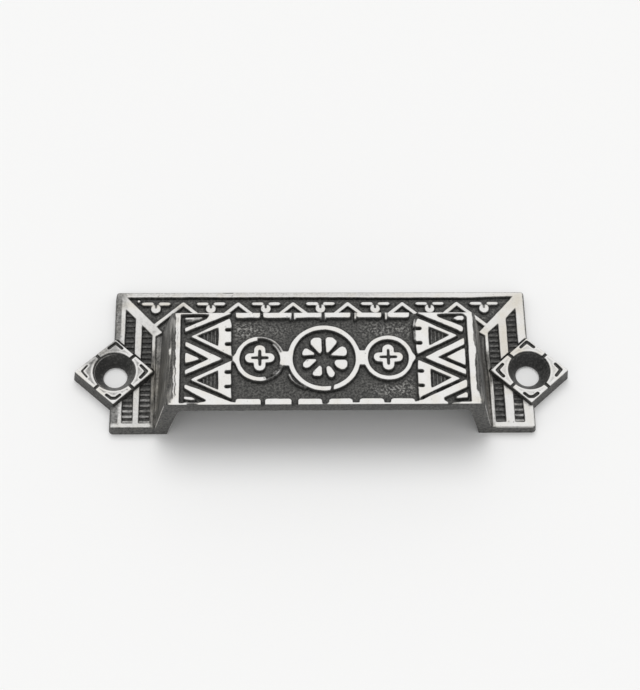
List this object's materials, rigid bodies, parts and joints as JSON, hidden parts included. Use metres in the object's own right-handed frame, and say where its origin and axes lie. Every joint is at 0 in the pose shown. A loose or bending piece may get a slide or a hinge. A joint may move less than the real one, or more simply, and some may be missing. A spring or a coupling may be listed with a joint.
{
  "type": "bin pull",
  "caption": "Cast drawer pull with a hooded finger grip and geometric relief, fixed by a countersunk screw through a diamond ear at each end",
  "frame": {"origin": "midway between the two screw holes, on the mounting back", "axes": "+Z out of the drawer front, +X along the length, +Y towards the closed edge of the hood, fingers enter from -Y"},
  "size_m": [0.1068, 0.0333, 0.0143],
  "materials": {
    "cast_metal": "dark aged casting, its raised relief worn bright"
  },
  "bodies": {
    "root": {"bin_pull": "cast_metal"}
  },
  "joints": []
}
